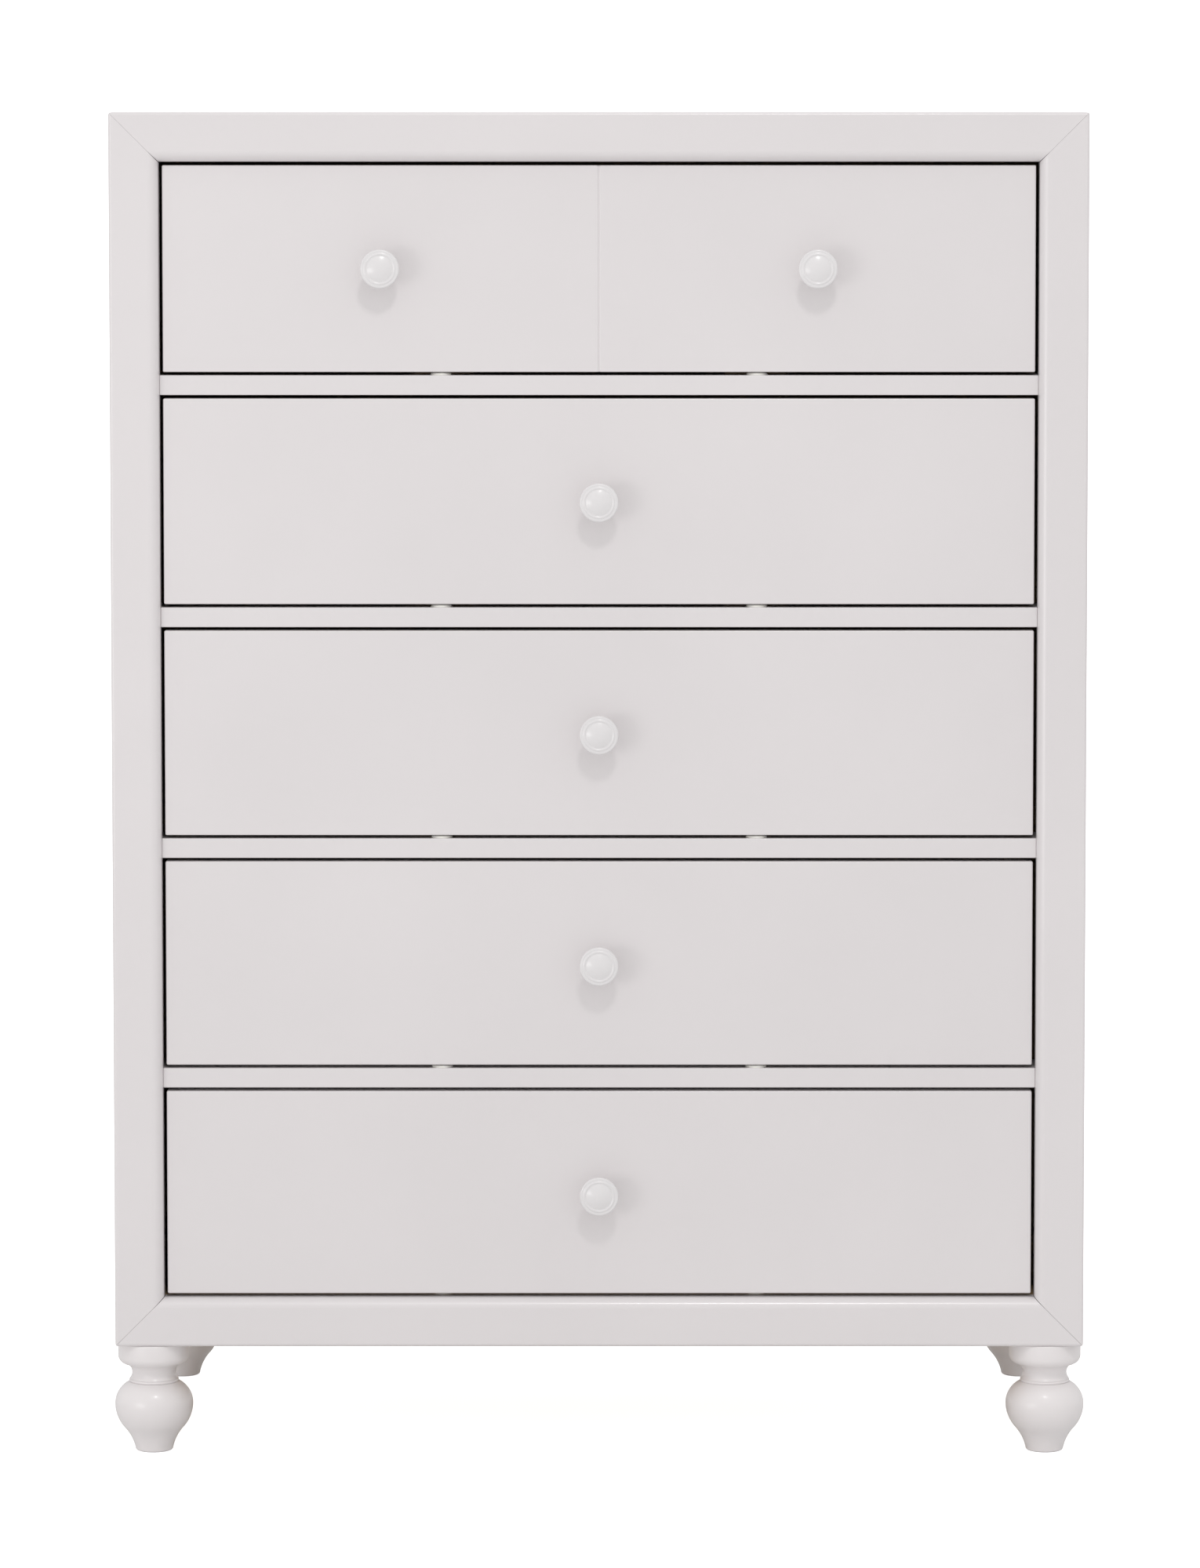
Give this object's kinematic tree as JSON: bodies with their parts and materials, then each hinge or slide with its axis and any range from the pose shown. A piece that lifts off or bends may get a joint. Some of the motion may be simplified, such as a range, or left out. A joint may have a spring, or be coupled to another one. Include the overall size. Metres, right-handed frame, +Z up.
{
  "type": "chest of drawers",
  "caption": "Tall white chest of full-width inset drawers in a mitred picture-frame front, with round knobs and turned bun feet.",
  "frame": {"origin": "on the floor, under the middle of the bounding box", "axes": "+Z up; +X to the right as seen by a person facing the drawers; the drawers open towards -Y"},
  "size_m": [0.92, 0.454, 1.267],
  "materials": {
    "white_paint": "satin lacquer",
    "pale_hardwood": "clear matt lacquer",
    "plywood": "clear matt lacquer",
    "nylon": "moulded",
    "zinc_steel": "zinc plated"
  },
  "bodies": {
    "carcass": {"left_stile": "white_paint", "right_stile": "white_paint", "top_frame_rail": "white_paint", "bottom_frame_rail": "white_paint", "left_side_panel": "white_paint", "right_side_panel": "white_paint", "top_panel": "white_paint", "bottom_panel": "pale_hardwood", "back_panel": "plywood", "divider_rails": "white_paint", "bottom_drawer_rail": "pale_hardwood", "rear_rails": "pale_hardwood", "drawer_tracks": "pale_hardwood", "rail_glides": "nylon", "front_left_foot": "white_paint", "front_right_foot": "white_paint", "rear_left_foot": "white_paint", "rear_right_foot": "white_paint", "foot_bolts": "zinc_steel", "case_screws": "zinc_steel"},
    "drawer_1": {"drawer_1_front": "white_paint", "drawer_1_left_side": "pale_hardwood", "drawer_1_right_side": "pale_hardwood", "drawer_1_back": "pale_hardwood", "drawer_1_bottom": "plywood", "drawer_1_knobs": "white_paint", "drawer_1_runner_bars": "pale_hardwood", "drawer_1_screws": "zinc_steel"},
    "drawer_2": {"drawer_2_front": "white_paint", "drawer_2_left_side": "pale_hardwood", "drawer_2_right_side": "pale_hardwood", "drawer_2_back": "pale_hardwood", "drawer_2_bottom": "plywood", "drawer_2_knobs": "white_paint", "drawer_2_runner_bars": "pale_hardwood", "drawer_2_screws": "zinc_steel"},
    "drawer_3": {"drawer_3_front": "white_paint", "drawer_3_left_side": "pale_hardwood", "drawer_3_right_side": "pale_hardwood", "drawer_3_back": "pale_hardwood", "drawer_3_bottom": "plywood", "drawer_3_knobs": "white_paint", "drawer_3_runner_bars": "pale_hardwood", "drawer_3_screws": "zinc_steel"},
    "drawer_4": {"drawer_4_front": "white_paint", "drawer_4_left_side": "pale_hardwood", "drawer_4_right_side": "pale_hardwood", "drawer_4_back": "pale_hardwood", "drawer_4_bottom": "plywood", "drawer_4_knobs": "white_paint", "drawer_4_runner_bars": "pale_hardwood", "drawer_4_screws": "zinc_steel"},
    "drawer_5": {"drawer_5_front": "white_paint", "drawer_5_left_side": "pale_hardwood", "drawer_5_right_side": "pale_hardwood", "drawer_5_back": "pale_hardwood", "drawer_5_bottom": "plywood", "drawer_5_knobs": "white_paint", "drawer_5_runner_bars": "pale_hardwood", "drawer_5_screws": "zinc_steel"}
  },
  "joints": [
    {"name": "drawer_1_slide", "type": "slide", "parent": "carcass", "child": "drawer_1", "axis": [0, -1, 0], "range_m": [0, 0.29]},
    {"name": "drawer_2_slide", "type": "slide", "parent": "carcass", "child": "drawer_2", "axis": [0, -1, 0], "range_m": [0, 0.29]},
    {"name": "drawer_3_slide", "type": "slide", "parent": "carcass", "child": "drawer_3", "axis": [0, -1, 0], "range_m": [0, 0.29]},
    {"name": "drawer_4_slide", "type": "slide", "parent": "carcass", "child": "drawer_4", "axis": [0, -1, 0], "range_m": [0, 0.29]},
    {"name": "drawer_5_slide", "type": "slide", "parent": "carcass", "child": "drawer_5", "axis": [0, -1, 0], "range_m": [0, 0.29]}
  ]
}
